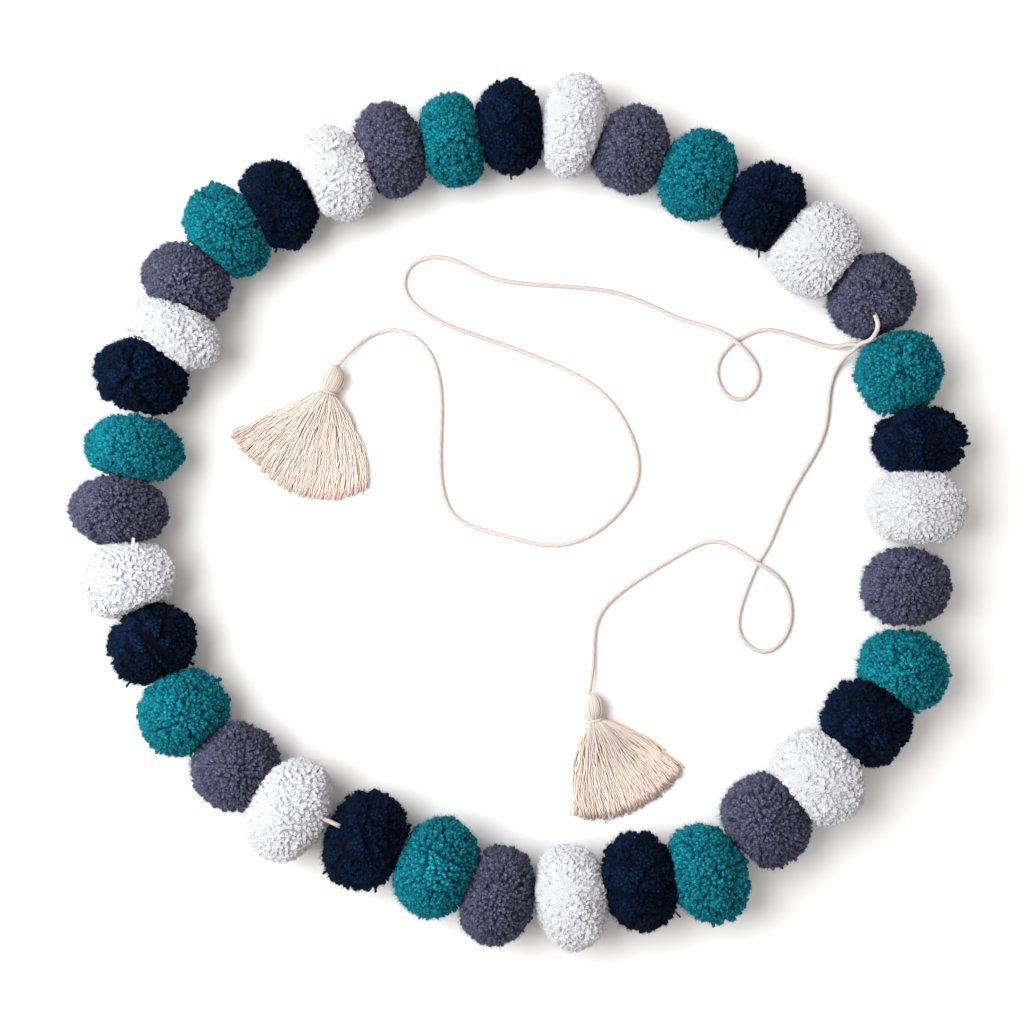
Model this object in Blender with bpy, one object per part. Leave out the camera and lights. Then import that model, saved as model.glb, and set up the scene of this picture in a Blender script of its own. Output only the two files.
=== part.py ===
"""A garland of cut yarn pompoms on a cotton cord, laid in a ring with its two tasselled ends inside it.

Units are metres and +Z is up. The origin is on the surface that the garland lies on, under the middle
of the ring. The tables hold millimetres and degrees, which in_metres() and math.radians() turn over.
"""

import math
import random
from collections import namedtuple

import bmesh
import bpy
import numpy as np
from mathutils import Quaternion, Vector

MM = 0.001
TURN = 2 * math.pi
UP = np.array((0.0, 0.0, 1.0))

# Clear space between pieces that touch
GAP = 0.3 * MM

# Cotton cord, and the way through each pompom that holds it
CORD_RADIUS = 1.5 * MM
CORD_BEVEL_STEPS = 2
BORE_RADIUS = 1.95 * MM
LONG_END_POINTS = 78
SHORT_END_POINTS = 54
SMOOTH_STEPS = 24
BEND_WEIGHT = 20 * MM

# Pompom shape: points round the cord and loops along it, a squarer oval than an ellipse, and tuft lumps
AROUND = 12
LOOPS = 6
MOUTH_ANGLE = math.radians(22)
SQUARENESS = 2.12
HEIGHT_SHARE = 0.94
SINK = 2.2 * MM
LUMP_SHARE = 0.035
UNDERSIDE = -0.8
FLAT_BELOW = 6 * MM
END_SPACE = 4.4 * MM
LEAN = 0.2

# Stray locks of yarn that stand out of each pompom
LOCKS_EACH = 4
LOCK_LENGTH = 4.2 * MM
LOCK_WIDTH = 3.2 * MM
LOCK_TAPER = 0.6
LOCK_LOWEST = 20 * MM
LOCK_CLEARANCE = 9 * MM

# Tassel shape: a head folded over the cord, a tied neck, and strands fanned on the surface
HEAD_HALF_LENGTH = 9.5 * MM
HEAD_RADIUS = 8.2 * MM
HEAD_HEIGHT = 8.0 * MM
HEAD_LOOPS = 6
NECK_RADIUS = 5.0 * MM
NECK_START = 8.0 * MM
NECK_MIDDLE = 9.1 * MM
NECK_END = 10.2 * MM
NECK_HEIGHT = 7.0 * MM
SHOULDER_END = 12.5 * MM
SHOULDER_HALF_WIDTH = 7.5 * MM
SHOULDER_HALF_HEIGHT = 5.3 * MM
SHOULDER_HEIGHT = 5.6 * MM
SHOULDER_ROUNDING = 1.02
STRAND_COLUMNS = 16
STRAND_SHARE = 0.8
STRAND_SWAY = 0.07
HEM_SWAY = 0.035
FAN_CONTROL = 0.35
FAN_LAG = 0.35
LAYER_GAP = 0.3 * MM
TIE_RADIUS = 0.65 * MM
TIE_SEGMENTS = (14, 6)

# Share of the way from root to hem, then the height of the lower layer's top and of the upper layer's
Station = namedtuple("Station", "share lower upper")
STATIONS = (
    Station(0.33, 3.0, 6.8),
    Station(0.66, 2.4, 5.2),
    Station(1.00, 1.9, 4.2),
)

# Yarn and cotton colours, linear, with roughness
Finish = namedtuple("Finish", "colour roughness")
FINISHES = {
    "teal_yarn": Finish((0.008, 0.280, 0.290), 0.90),
    "navy_yarn": Finish((0.008, 0.024, 0.075), 0.92),
    "white_yarn": Finish((0.780, 0.780, 0.820), 0.88),
    "grey_yarn": Finish((0.160, 0.155, 0.235), 0.90),
    "cotton_cord": Finish((0.800, 0.700, 0.620), 0.80),
    "tassel_cotton": Finish((0.830, 0.710, 0.610), 0.85),
    "tie_thread": Finish((0.880, 0.830, 0.780), 0.80),
}
COLOURS = ("teal", "navy", "white", "grey")

# Each pompom's middle on the surface, and half of its size across the cord and along it, in mm
Pompom = namedtuple("Pompom", "x y across along")
POMPOMS = (
    Pompom(247, 91, 29, 28),
    Pompom(260, 46, 31, 24),
    Pompom(258, 3, 32, 24.5),
    Pompom(252, -49, 29.5, 26),
    Pompom(250, -103, 30.5, 27),
    Pompom(225, -137, 31, 28.5),
    Pompom(194, -173, 32.5, 28),
    Pompom(161, -200, 31, 27.5),
    Pompom(122, -235, 33, 26.5),
    Pompom(78, -240, 33.5, 26),
    Pompom(33, -250, 34.5, 24),
    Pompom(-14, -250, 33, 24.5),
    Pompom(-54, -232, 34, 27.5),
    Pompom(-100, -213, 34, 27.5),
    Pompom(-150, -193, 35, 26),
    Pompom(-185, -166, 29.5, 28.5),
    Pompom(-219, -130, 30, 28),
    Pompom(-239, -86, 30, 27.5),
    Pompom(-256, -44, 32.5, 24.5),
    Pompom(-261, 1, 32, 23.5),
    Pompom(-251, 41, 31.5, 22.5),
    Pompom(-246, 88, 32, 24.5),
    Pompom(-226, 116, 34, 20),
    Pompom(-217, 150, 30, 24.5),
    Pompom(-190, 183, 32, 24.5),
    Pompom(-157, 200, 31, 24.5),
    Pompom(-119, 220, 32.5, 23),
    Pompom(-84, 236, 32, 22),
    Pompom(-44, 242, 31, 21.5),
    Pompom(-7, 250, 32, 23.5),
    Pompom(35, 252, 34, 21.5),
    Pompom(73, 236, 30, 24.5),
    Pompom(116, 219, 30.5, 26),
    Pompom(159, 198, 30.5, 28),
    Pompom(192, 170, 31, 28.5),
    Pompom(229, 140, 28.5, 28),
)

# Where the cord bends inside a pompom instead of at its middle, by the pompom's number, in mm
KNEES = {
    14: ((-100, -213, 30), (-111, -205, 43.5)),
    15: ((-137, -194, 44.5), (-150, -193, 31)),
    36: ((222, 145, 27.5), (227.3, 133.5, 36.5)),
}

# Where the cord shows between a pompom and the next one, by the first one's number, in mm
SHOWN_BETWEEN = {14: (-124, -198, 47)}

# The free ends' routes, from the pompom that each leaves to the head of its tassel, in mm
LONG_END = (
    (223.8, 108.2, 13.9), (222.1, 109.45, 13.05), (218.0, 110.4, 9.4), (210.3, 109.4, 4.4),
    (198.7, 110.9, 1.9),
    (164.9, 120.5, 1.5), (152.0, 117.8, 1.5), (142.7, 112.9, 1.5), (133.5, 103.3, 1.5),
    (130.5, 91.0, 1.5), (135.8, 78.8, 1.5), (145.4, 74.5, 1.5), (154.3, 80.1, 1.5),
    (158.0, 91.0, 1.5), (153.0, 102.3, 2.9), (142.7, 112.6, 5.1), (127.9, 121.1, 2.6),
    (103.7, 128.8, 1.5), (60.7, 145.6, 1.5), (-14.5, 153.9, 1.5), (-43.8, 166.5, 1.5),
    (-58.8, 168.5, 1.5), (-72.1, 162.9, 1.5), (-76.6, 150.5, 1.5), (-70.3, 137.9, 1.5),
    (-46.2, 123.1, 1.5), (-9.2, 110.0, 1.5), (32.9, 92.7, 1.5), (59.3, 73.8, 1.5),
    (76.2, 43.0, 1.5), (76.9, 19.9, 1.5), (60.3, -5.3, 1.5), (26.6, -21.8, 1.5),
    (-14.5, -14.6, 1.5), (-44.3, -1.3, 1.5), (-52.9, 34.4, 1.5), (-52.2, 70.8, 1.5),
    (-59.5, 104.6, 1.5), (-79.3, 119.8, 1.5), (-100.5, 115.9, 2.4), (-119.95, 97.1, 6.4),
)
SHORT_END = (
    (228.45, 123.6, 49.9), (228.59, 122.42, 51.5), (228.8, 119.4, 52.8), (228.5, 116.4, 51.0),
    (227.9, 114.2, 47.2), (226.0, 111.0, 37.7),
    (222.2, 109.7, 24.0), (219.5, 106.8, 15.5), (216.2, 104.1, 9.5), (212.3, 99.5, 4.6),
    (208.6, 93.0, 2.2), (205.0, 80.1, 1.5), (202.7, 58.9, 1.5), (196.0, 40.4, 1.5),
    (186.1, 23.8, 1.5), (174.9, 2.6, 1.5), (164.7, -21.5, 1.5), (157.2, -34.4, 1.5),
    (148.4, -55.6, 1.5), (144.4, -72.8, 1.5), (148.4, -85.4, 1.5), (162.0, -92.4, 1.5),
    (174.9, -83.4, 1.5), (179.5, -67.5, 1.5), (175.5, -49.7, 1.9), (165.6, -38.8, 3.9),
    (157.2, -34.0, 5.1), (143.1, -24.5, 2.6), (126.8, -19.5, 1.5), (106.0, -27.8, 1.5),
    (79.5, -44.0, 1.5), (57.0, -62.2, 1.5), (49.7, -78.1, 1.5), (48.4, -98.0, 2.4),
    (45.8, -118.2, 6.4),
)

# Each tassel's head, the way it points, the two sides of its fan, and its reach across the fan, in mm
Tassel = namedtuple("Tassel", "name x y points fan_from fan_to reaches")
TASSELS = (
    Tassel("long_end", -123.5, 87.3, 250, 203, 293, (69, 66, 69, 70, 67)),
    Tassel("short_end", 48.0, -128.4, 282, 259, 331, (64, 65, 64, 65, 65)),
)

# A pompom in place: its middle, its axes with their half sizes, and the flats where neighbours press
Ball = namedtuple("Ball", "middle axes sizes presses")


def in_metres(numbers):
    return np.array(numbers, float) * MM


def unit(vector):
    return vector / np.linalg.norm(vector)


def turned(vector, axis, angle):
    """The vector turned about an axis through the origin."""
    return np.array(Quaternion(Vector(axis), angle) @ Vector(vector))


def circle(centre, radius, along, angles):
    """Points round a centre, square to a direction, with the first axis level."""
    side = unit(np.cross(along, UP))
    top = np.cross(side, along)
    return [centre + radius * (math.cos(a) * side + math.sin(a) * top) for a in angles]


def clear_scene():
    for item in list(bpy.data.objects):
        bpy.data.objects.remove(item, do_unlink=True)


def finish_material(name):
    """The Principled material of one kind of yarn or cotton, made once."""
    found = bpy.data.materials.get(name)
    if found:
        return found
    finish = FINISHES[name]
    material = bpy.data.materials.new(name)
    material.use_nodes = True
    shader = material.node_tree.nodes["Principled BSDF"]
    shader.inputs["Base Color"].default_value = (*finish.colour, 1.0)
    shader.inputs["Roughness"].default_value = finish.roughness
    shader.inputs["Metallic"].default_value = 0.0
    material.diffuse_color = (*finish.colour, 1.0)
    return material


def add_object(name, data, finish):
    data.materials.append(finish_material(finish))
    made = bpy.data.objects.new(name, data)
    bpy.context.collection.objects.link(made)
    return made


def ring_faces(rings, closed):
    """Quads between rings of point numbers, each ring as long as the next."""
    pairs = list(zip(rings, rings[1:]))
    if closed:
        pairs.append((rings[-1], rings[0]))
    return [
        (here[k], here[(k + 1) % len(here)], there[(k + 1) % len(there)], there[k])
        for here, there in pairs
        for k in range(len(here))
    ]


def oval_level(ball, offset):
    """Under 1 inside a pompom's free shape, 1 on its surface, and more outside."""
    shares = np.abs(ball.axes @ offset) / ball.sizes
    return float((shares**SQUARENESS).sum())


def free_reach(ball, direction):
    """Distance from a pompom's middle to its surface, before its neighbours press on it."""
    return oval_level(ball, direction) ** (-1 / SQUARENESS)


def free_ball(number):
    """A pompom with nothing pressing on it. Its short axis follows the line between its neighbours."""
    row = POMPOMS[number]
    before = POMPOMS[number - 1]
    after = POMPOMS[(number + 1) % len(POMPOMS)]
    along = unit(np.array((after.x - before.x, after.y - before.y, 0.0)))
    across = np.cross(along, UP)
    sizes = in_metres((row.along, row.across, row.across * HEIGHT_SHARE))
    middle = np.array((row.x * MM, row.y * MM, sizes[2] - SINK))
    return Ball(middle, np.array((along, across, UP)), sizes, [])


def press_together(first, second, space):
    """Gives two neighbours a flat each, this far apart, where their free shapes would meet.

    The flats lean, so that the neighbour on the near side lies a little over the one behind it.
    """
    between = second.middle - first.middle
    distance = np.linalg.norm(between)
    toward = between / distance
    meeting = first.middle + toward * (distance + free_reach(first, toward) - free_reach(second, -toward)) / 2
    normal = unit(toward - LEAN * toward[1] * UP)
    first.presses.append((normal, (meeting - first.middle) @ normal - space / 2))
    second.presses.append((-normal, (second.middle - meeting) @ normal - space / 2))


def place_balls():
    balls = [free_ball(number) for number in range(len(POMPOMS))]
    for first, second in zip(balls, balls[1:]):
        press_together(first, second, GAP)
    press_together(balls[-1], balls[0], END_SPACE)
    return balls


def is_inside(ball, point):
    offset = point - ball.middle
    flats = all(offset @ normal < limit for normal, limit in ball.presses)
    return flats and oval_level(ball, offset) < 1


def way_out(ball, inside, beyond):
    """Where the straight line from a point in a pompom to one beyond it passes the surface."""
    low, high = 0.0, 1.0
    for _ in range(30):
        half = (low + high) / 2
        if is_inside(ball, inside + half * (beyond - inside)):
            low = half
        else:
            high = half
    return inside + low * (beyond - inside)


def cord_way(balls):
    """The threaded cord's points, and for each pompom the part of them that it holds, with its mouths."""
    long_start, long_next = in_metres(LONG_END[:2])
    short_start, short_next = in_metres(SHORT_END[:2])
    route = [long_start - GAP * unit(long_next - long_start)]
    held = []
    for number, ball in enumerate(balls, 1):
        first = len(route)
        route += list(in_metres(KNEES[number])) if number in KNEES else [ball.middle]
        held.append((first, len(route)))
        if number in SHOWN_BETWEEN:
            route.append(in_metres(SHOWN_BETWEEN[number]))
    route.append(short_start - GAP * unit(short_next - short_start))
    ways = []
    for ball, (first, end) in zip(balls, held):
        mouth_in = way_out(ball, route[first], route[first - 1])
        mouth_out = way_out(ball, route[end - 1], route[end])
        ways.append([mouth_in, *route[first:end], mouth_out])
    return route, ways


def pressed(ball, offset):
    """A surface point moved back to the flats where the neighbours press."""
    for normal, limit in ball.presses:
        beyond = offset @ normal - limit
        if beyond > 0:
            offset = offset - beyond * normal
    return offset


def surface_loops(ball, way, dice):
    """Loops of lumpy surface points round the cord, from the mouth where it comes in to where it leaves.

    Lumps on the underside only swell, and what is near the surface lies flat on it, as a small flat spot.
    """
    mouth_in = unit(way[0] - ball.middle)
    mouth_out = unit(way[-1] - ball.middle)
    travel = unit(mouth_out - mouth_in)
    hinge = np.cross(travel, mouth_out)
    bend = math.asin(min(np.linalg.norm(hinge), 1.0))
    angles = [(k + 0.5) * TURN / AROUND for k in range(AROUND)]
    loops = []
    for theta in np.linspace(MOUTH_ANGLE, math.pi - MOUTH_ANGLE, LOOPS):
        loop = []
        for direction in circle(-math.cos(theta) * travel, math.sin(theta), travel, angles):
            if bend > 0:
                direction = turned(direction, hinge, -bend * math.cos(theta))
            lump = dice.uniform(-LUMP_SHARE, LUMP_SHARE)
            if direction[2] < UNDERSIDE:
                lump = abs(lump)
            reach = free_reach(ball, direction) * (1 + lump)
            point = ball.middle + pressed(ball, direction * reach)
            if point[2] < FLAT_BELOW:
                point[2] = 0.0
            loop.append(point)
        loops.append(loop)
    return loops


def bore_rings(way):
    """Rings round the cord's way through a pompom, square to it, and wider where it bends."""
    legs = [unit(after - before) for before, after in zip(way, way[1:])]
    angles = [(k + 0.5) * TURN / AROUND for k in range(AROUND)]
    rings = []
    for place, before, after in zip(way, [legs[0], *legs], [*legs, legs[-1]]):
        along = unit(before + after)
        rings.append(circle(place, BORE_RADIUS / (along @ before), along, angles))
    return rings


def shrink(face, share):
    """Draws a face's corners towards its middle."""
    middle = face.calc_center_median()
    for corner in face.verts:
        corner.co = middle + (corner.co - middle) * share


def grow_lock(shell, face, middle):
    """Draws one tapered four-sided lock of yarn out of the middle of a face."""
    width = math.sqrt(face.calc_area())
    root = bmesh.ops.extrude_discrete_faces(shell, faces=[face])["faces"][0]
    shrink(root, LOCK_WIDTH / width)
    tip = bmesh.ops.extrude_discrete_faces(shell, faces=[root])["faces"][0]
    outward = (tip.calc_center_median() - Vector(middle)).normalized()
    for corner in tip.verts:
        corner.co += outward * LOCK_LENGTH
    shrink(tip, LOCK_TAPER)


def takes_lock(face, ball, free_points):
    """Whether a face is high enough, and clear enough of neighbours and free cord, for a lock."""
    centre = np.array(face.calc_center_median())
    if centre[2] < LOCK_LOWEST:
        return False
    if np.linalg.norm(free_points - centre, axis=1).min() < LOCK_CLEARANCE:
        return False
    offset = centre - ball.middle
    return all(offset @ normal < limit - LOCK_CLEARANCE for normal, limit in ball.presses)


def make_pompom(number, ball, way, free_points):
    """One pompom: a lumpy pressed ball with the cord's way through it and a few stray locks."""
    dice = random.Random(number)
    chain = surface_loops(ball, way, dice) + bore_rings(way)[::-1]
    shell = bmesh.new()
    rings = [[shell.verts.new(point) for point in ring] for ring in chain]
    for corners in ring_faces(rings, closed=True):
        shell.faces.new(corners)
    shell.normal_update()
    outer = list(shell.faces)[AROUND : AROUND * (LOOPS - 2)]
    ready = [face for face in outer if takes_lock(face, ball, free_points)]
    for face in dice.sample(ready, min(LOCKS_EACH, len(ready))):
        grow_lock(shell, face, ball.middle)
    bmesh.ops.recalc_face_normals(shell, faces=shell.faces)
    colour = COLOURS[(number - 1) % len(COLOURS)]
    mesh = bpy.data.meshes.new(f"pompom_{number:02d}")
    shell.to_mesh(mesh)
    shell.free()
    mesh.shade_smooth()
    add_object(f"pompom_{number:02d}_{colour}", mesh, f"{colour}_yarn")


def natural_curve(points, steps):
    """Many points on the natural cubic curve through the given ones."""
    spans = np.sqrt(np.linalg.norm(np.diff(points, axis=0), axis=1))
    count = len(points)
    system = np.eye(count)
    slopes = np.zeros_like(points)
    for k in range(1, count - 1):
        system[k, k - 1 : k + 2] = spans[k - 1], 2 * (spans[k - 1] + spans[k]), spans[k]
        rise = (points[k + 1] - points[k]) / spans[k] - (points[k] - points[k - 1]) / spans[k - 1]
        slopes[k] = 6 * rise
    bends = np.linalg.solve(system, slopes)
    curve = []
    for k, span in enumerate(spans):
        for step in range(steps):
            b = step / steps
            a = 1 - b
            pull = ((a**3 - a) * bends[k] + (b**3 - b) * bends[k + 1]) * span**2 / 6
            curve.append(a * points[k] + b * points[k + 1] + pull)
    curve.append(points[-1])
    return np.array(curve)


def smooth_route(route, count):
    """The free cord's points, read from the smooth curve and closer together where it bends more."""
    curve = natural_curve(in_metres(route), SMOOTH_STEPS)
    curve[:, 2] = np.maximum(curve[:, 2], CORD_RADIUS)
    steps = np.diff(curve, axis=0)
    lengths = np.linalg.norm(steps, axis=1)
    headings = steps / lengths[:, None]
    turns = np.linalg.norm(np.diff(headings, axis=0), axis=1)
    turns = np.append(turns, turns[-1])
    worth = np.concatenate(([0.0], np.cumsum(lengths + BEND_WEIGHT * turns)))
    wanted = np.linspace(0.0, worth[-1], count)
    return np.stack([np.interp(wanted, worth, curve[:, axis]) for axis in range(3)], axis=1)


def make_cord(name, points):
    """A round cord along a row of points."""
    curve = bpy.data.curves.new(name, "CURVE")
    curve.dimensions = "3D"
    curve.bevel_depth = CORD_RADIUS
    curve.bevel_resolution = CORD_BEVEL_STEPS
    curve.use_fill_caps = True
    spline = curve.splines.new("POLY")
    spline.points.add(len(points) - 1)
    for place, point in zip(spline.points, points):
        place.co = (*point, 1.0)
    spline.use_smooth = True
    return add_object(name, curve, "cotton_cord")


class TasselFrame:
    """One tassel's own directions: along it from head to hem, and across it, level."""

    def __init__(self, row):
        angle = math.radians(row.points)
        self.row = row
        self.along = np.array((math.cos(angle), math.sin(angle), 0.0))
        self.across = np.cross(UP, self.along)
        self.head = np.array((row.x * MM, row.y * MM, 0.0))

    def place(self, along, across, height):
        return self.head + along * self.along + across * self.across + height * UP


def oval_angles():
    """Angles of the points round head and neck, which match every second point of the shoulder."""
    half = STRAND_COLUMNS // 2
    shares = [(2 * k / half - 2) / 2 for k in range(half + 1)]
    lower = [-math.acos(share / SHOULDER_ROUNDING) for share in shares]
    return lower + [-angle for angle in reversed(lower)]


def shoulder_height(share, side):
    """Height of the shoulder's outline at a share across, -1 to 1, on its lower (-1) or upper (1) side."""
    drop = math.sqrt(1 - (share / SHOULDER_ROUNDING) ** 2)
    return SHOULDER_HEIGHT + side * drop * SHOULDER_HALF_HEIGHT


def fan_place(frame, share, t):
    """A point on the surface, a share of the way across the fan and t of the way from root to hem."""
    row = frame.row
    angle = math.radians(row.fan_from + (row.fan_to - row.fan_from) * share)
    reach = MM * np.interp(share, np.linspace(0, 1, len(row.reaches)), row.reaches)
    heading = np.array((math.cos(angle), math.sin(angle), 0.0))
    root = frame.place(SHOULDER_END, (2 * share - 1) * SHOULDER_HALF_WIDTH, 0)
    control = root + FAN_CONTROL * reach * unit(heading + FAN_LAG * frame.along)
    hem = frame.place(NECK_MIDDLE, 0, 0) + reach * heading
    return (1 - t) ** 2 * root + 2 * t * (1 - t) * control + t**2 * hem


def strand_sections(frame, column, layer, dice):
    """A strand's four-cornered sections from root to hem. The lower layer lies level on the surface."""
    middle = (column + 0.5) / STRAND_COLUMNS
    half = STRAND_SHARE / 2 / STRAND_COLUMNS
    sides = (middle - half, middle + half)
    sway = dice.uniform(-STRAND_SWAY, STRAND_SWAY) / STRAND_COLUMNS
    hem = 1 + dice.uniform(-HEM_SWAY, HEM_SWAY)
    root = []
    for share in sides:
        outline = shoulder_height(2 * share - 1, 2 * layer - 1)
        heights = sorted((outline - (2 * layer - 1) * GAP / 2, SHOULDER_HEIGHT + (2 * layer - 1) * GAP / 2))
        root.append([fan_place(frame, share, 0) + height * UP for height in heights])
    sections = [root]
    for station in STATIONS:
        lower, upper = station.lower * MM, station.upper * MM
        heights = (lower + LAYER_GAP, upper) if layer else (0.0, lower)
        places = [fan_place(frame, share + sway * station.share, station.share * hem) for share in sides]
        sections.append([[place + height * UP for height in heights] for place in places])
    return [(left[0], right[0], right[1], left[1]) for left, right in sections]


def make_tassel(frame):
    """Head, neck, shoulder and strands in one closed shell."""
    shell = bmesh.new()
    angles = oval_angles()

    def loop(along, radius, height):
        points = []
        for angle in angles:
            lift = max(height + radius * math.sin(angle), 0.0)
            points.append(shell.verts.new(frame.place(along, radius * math.cos(angle), lift)))
        return points

    top = shell.verts.new(frame.place(-HEAD_HALF_LENGTH, 0, HEAD_HEIGHT))
    rings = []
    last_turn = math.acos(-NECK_START / HEAD_HALF_LENGTH)
    for k in range(1, HEAD_LOOPS):
        turn = last_turn * k / HEAD_LOOPS
        rings.append(loop(-HEAD_HALF_LENGTH * math.cos(turn), HEAD_RADIUS * math.sin(turn), HEAD_HEIGHT))
    rings.append(loop(NECK_START, NECK_RADIUS, NECK_HEIGHT))
    rings.append(loop(NECK_END, NECK_RADIUS, NECK_HEIGHT))
    for k in range(len(angles)):
        shell.faces.new((top, rings[0][(k + 1) % len(angles)], rings[0][k]))
    for corners in ring_faces(rings, closed=False):
        shell.faces.new(corners)

    grid = []
    for column in range(STRAND_COLUMNS + 1):
        share = 2 * column / STRAND_COLUMNS - 1
        heights = (shoulder_height(share, -1), SHOULDER_HEIGHT, shoulder_height(share, 1))
        across = share * SHOULDER_HALF_WIDTH
        grid.append([shell.verts.new(frame.place(SHOULDER_END, across, height)) for height in heights])
    lower = [row[0] for row in grid]
    upper = [row[2] for row in grid]
    rim = lower + [grid[-1][1]] + upper[::-1] + [grid[0][1]]
    neck = rings[-1]
    for k, here in enumerate(neck):
        after = neck[(k + 1) % len(neck)]
        a, b, c = (rim[(2 * k + step) % len(rim)] for step in range(3))
        shell.faces.new((here, a, b))
        shell.faces.new((here, b, after))
        shell.faces.new((after, b, c))

    dice = random.Random(frame.row.name)
    for column in range(STRAND_COLUMNS):
        for layer in range(2):
            left, right = grid[column], grid[column + 1]
            cell = [left[layer], right[layer], right[layer + 1], left[layer + 1]]
            rings = [cell]
            for section in strand_sections(frame, column, layer, dice):
                rings.append([shell.verts.new(point) for point in section])
            for corners in ring_faces(rings, closed=False):
                shell.faces.new(corners)
            shell.faces.new(rings[-1])

    bmesh.ops.recalc_face_normals(shell, faces=shell.faces)
    mesh = bpy.data.meshes.new(f"{frame.row.name}_tassel")
    shell.to_mesh(mesh)
    shell.free()
    mesh.shade_smooth()
    mesh.set_sharp_from_angle(angle=math.radians(50))
    add_object(f"{frame.row.name}_tassel", mesh, "tassel_cotton")


def make_tie(frame):
    """The thread bound round a tassel's neck, as one plain ring."""
    around, section = TIE_SEGMENTS
    centre = frame.place(NECK_MIDDLE, 0, NECK_HEIGHT)
    rings = []
    shell = bmesh.new()
    for k in range(around):
        outward = circle(np.zeros(3), 1.0, frame.along, [k * TURN / around])[0]
        ring = []
        for step in range(section):
            angle = step * TURN / section
            away = NECK_RADIUS + GAP + TIE_RADIUS + TIE_RADIUS * math.cos(angle)
            point = centre + away * outward + TIE_RADIUS * math.sin(angle) * frame.along
            ring.append(shell.verts.new(point))
        rings.append(ring)
    for corners in ring_faces(rings, closed=True):
        shell.faces.new(corners)
    bmesh.ops.recalc_face_normals(shell, faces=shell.faces)
    mesh = bpy.data.meshes.new(f"{frame.row.name}_tie")
    shell.to_mesh(mesh)
    shell.free()
    mesh.shade_smooth()
    add_object(f"{frame.row.name}_tie", mesh, "tie_thread")


def main():
    clear_scene()
    balls = place_balls()
    route, ways = cord_way(balls)
    make_cord("threaded_cord", route)
    long_points = smooth_route(LONG_END, LONG_END_POINTS)
    short_points = smooth_route(SHORT_END, SHORT_END_POINTS)
    make_cord("long_cord_end", long_points)
    make_cord("short_cord_end", short_points)
    free_points = np.concatenate((long_points, short_points))
    for number, (ball, way) in enumerate(zip(balls, ways), 1):
        make_pompom(number, ball, way, free_points)
    for row in TASSELS:
        frame = TasselFrame(row)
        make_tassel(frame)
        make_tie(frame)


main()
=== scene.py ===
"""The look of the pompom garland: cut yarn tufts, twisted cotton cord, tassels of fine cotton threads,
a pale floor, soft studio light from the left, and a camera straight above.
"""

import math
from collections import namedtuple

import bpy
import numpy as np
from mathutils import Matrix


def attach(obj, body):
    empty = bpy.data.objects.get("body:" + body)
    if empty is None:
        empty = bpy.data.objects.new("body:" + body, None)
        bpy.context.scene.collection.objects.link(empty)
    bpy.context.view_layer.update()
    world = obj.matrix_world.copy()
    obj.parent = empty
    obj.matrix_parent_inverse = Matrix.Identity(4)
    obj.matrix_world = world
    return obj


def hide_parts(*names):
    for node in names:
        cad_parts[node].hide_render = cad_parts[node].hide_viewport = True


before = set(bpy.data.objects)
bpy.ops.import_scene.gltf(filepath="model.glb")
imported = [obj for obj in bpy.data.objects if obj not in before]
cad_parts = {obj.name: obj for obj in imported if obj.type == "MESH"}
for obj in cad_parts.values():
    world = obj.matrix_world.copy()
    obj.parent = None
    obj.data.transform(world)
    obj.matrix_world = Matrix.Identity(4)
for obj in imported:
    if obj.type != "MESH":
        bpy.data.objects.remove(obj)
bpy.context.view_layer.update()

MM = 0.001
TURN = 2 * math.pi
UP = np.array((0.0, 0.0, 1.0))

# Camera straight above, a little left of the origin, with this width of view at the pompoms' middle height
CAMERA_X = -5.2 * MM
CAMERA_DISTANCE = 1.5
CAMERA_CLIP_END = 20
VIEW_HEIGHT = 29 * MM
VIEW_WIDTH = 665.6 * MM
SENSOR_WIDTH = 36.0

# Pompom shape, as the part's source has it
SQUARENESS = 2.12
HEIGHT_SHARE = 0.94
SINK = 2.2 * MM
GAP = 0.3 * MM
END_SPACE = 4.4 * MM
LEAN = 0.2

# Tufts of cut yarn: how many there are, how deep they go, and how unevenly they spread, tilt and lean out
# from the whorl on top
TUFTS = 1330
TUFT_DEPTH = 8.5 * MM
TUFT_SPREAD = 0.76
TUFT_TILT = 0.24
TUFT_WIDTHS = (0.8, 1.25)
WHORL_SPREAD = 5 * MM
WHORL_SIZE = 9 * MM
WHORL_LEANS = (0.2, 1.3)

# One tuft: its sides, its root beside its half width, how its corners turn and reach out, and its rim, whose
# depth paints it part way to the deep colour, a painted shade
TUFT_SIDES = 4
ROOT_WIDTH = 0.5
CORNER_TURN = 0.16
CORNER_REACHES = (0.60, 1.22)
RIM_DROPS = (0.5, 1.6)
RIM_DEPTH = 0.55

# Unevenness of the trimmed surface, the clumps that tufts draw into, and the painted shade of partings and
# creases, with painted light on the ridges beside a crease
LUMP = 1.0 * MM
LUMP_WAVES = 7
LUMP_WAVE_SPREAD = 4.2
LUMP_SPAN = 2.6
CLUMPS = 48
CLUMP_PULL = 0.10
CLUMP_BORDER = 0.05
PARTING_PAINTED_SHADE = 0.40
CREASE_PAINTED_SHADE = 6 * MM
CREASE_RIDGE = 0.4
CREASE_RIDGE_OFF = 2

# Underneath: fewer tufts below this level, and a ball of dense yarn that is smaller between two levels
UNDER = -0.4
UNDER_SHARE = 0.6
CORE_STEPS = (20, 12)
CORE_LEVELS = (-0.45, 0.05)
UNDER_CORE_SIZE = 0.84
CORE_TINT = 0.5

# Borders: how deep a tuft may hide behind one, and how the border between two pompoms wanders
HIDDEN_DEPTH = 4.5 * MM
BORDER_WANDER = 1.7 * MM
BORDER_WAVES = ((13, 17, 29), (-19, 11, 23), (7, -9, -31), (-8, -6, 19))
FLOOR_CLEARANCE = 0.2 * MM
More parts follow.
